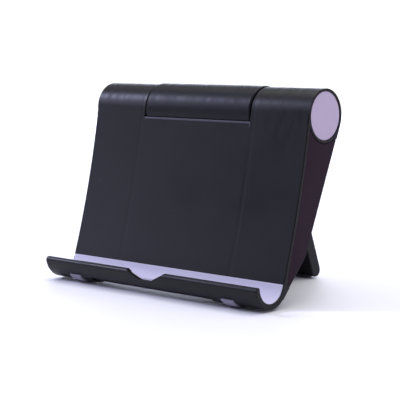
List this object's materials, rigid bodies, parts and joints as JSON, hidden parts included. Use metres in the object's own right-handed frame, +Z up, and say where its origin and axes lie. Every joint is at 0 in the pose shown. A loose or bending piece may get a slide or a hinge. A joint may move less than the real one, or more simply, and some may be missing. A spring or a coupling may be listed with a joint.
{
  "type": "folding tablet stand",
  "caption": "Folding desk stand for a tablet or phone: bowed back panel with a lined cradle and cable notch, and a ratcheted fold-out rear leg.",
  "frame": {"origin": "on the table under the middle of the stand, as it stands with the leg three clicks open", "axes": "+X along the hinge to the stand's right end as the user sees it, +Y away from the user, +Z up"},
  "size_m": [0.1, 0.0713, 0.0725],
  "materials": {
    "black_abs": "satin moulded",
    "lavender_silicone": "matte moulded silicone",
    "lavender_plastic": "matte moulded",
    "grey_silicone": "matte moulded silicone",
    "acetal": "satin moulded",
    "steel": "zinc plated",
    "spring_steel": "bright drawn"
  },
  "bodies": {
    "stand_body": {"front_shell": "black_abs", "rear_cover_right": "black_abs", "rear_cover_left": "black_abs", "cradle_liner": "lavender_silicone", "end_cap_right": "lavender_plastic", "end_cap_left": "lavender_plastic", "hinge_axle": "steel", "spring_washer_right": "steel", "spring_washer_left": "steel", "retaining_clip_right": "spring_steel", "retaining_clip_left": "spring_steel", "ratchet_spring_right": "spring_steel", "ratchet_spring_left": "spring_steel"},
    "leg": {"leg_shell": "black_abs", "leg_cover": "black_abs", "leg_foot_pad_right": "grey_silicone", "leg_foot_pad_left": "grey_silicone", "ratchet_hub_right": "acetal", "ratchet_hub_left": "acetal"},
    "slider_right": {"ratchet_slider_right": "acetal"},
    "slider_left": {"ratchet_slider_left": "acetal"}
  },
  "joints": [
    {"name": "leg_hinge", "type": "hinge", "parent": "stand_body", "child": "leg", "pos_m": [0, 0.00162, 0.06286], "axis": [1, 0, 0], "range_deg": [-45, 135]},
    {"name": "ratchet_right", "type": "slide", "parent": "stand_body", "child": "slider_right", "axis": [1, 0, 0], "range_m": [0, 0.0009], "stiffness_N_per_m": 1200, "springref_m": -0.003, "deforming": ["ratchet_spring_right"]},
    {"name": "ratchet_left", "type": "slide", "parent": "stand_body", "child": "slider_left", "axis": [-1, 0, 0], "range_m": [0, 0.0009], "stiffness_N_per_m": 1200, "springref_m": -0.003, "deforming": ["ratchet_spring_left"]}
  ]
}
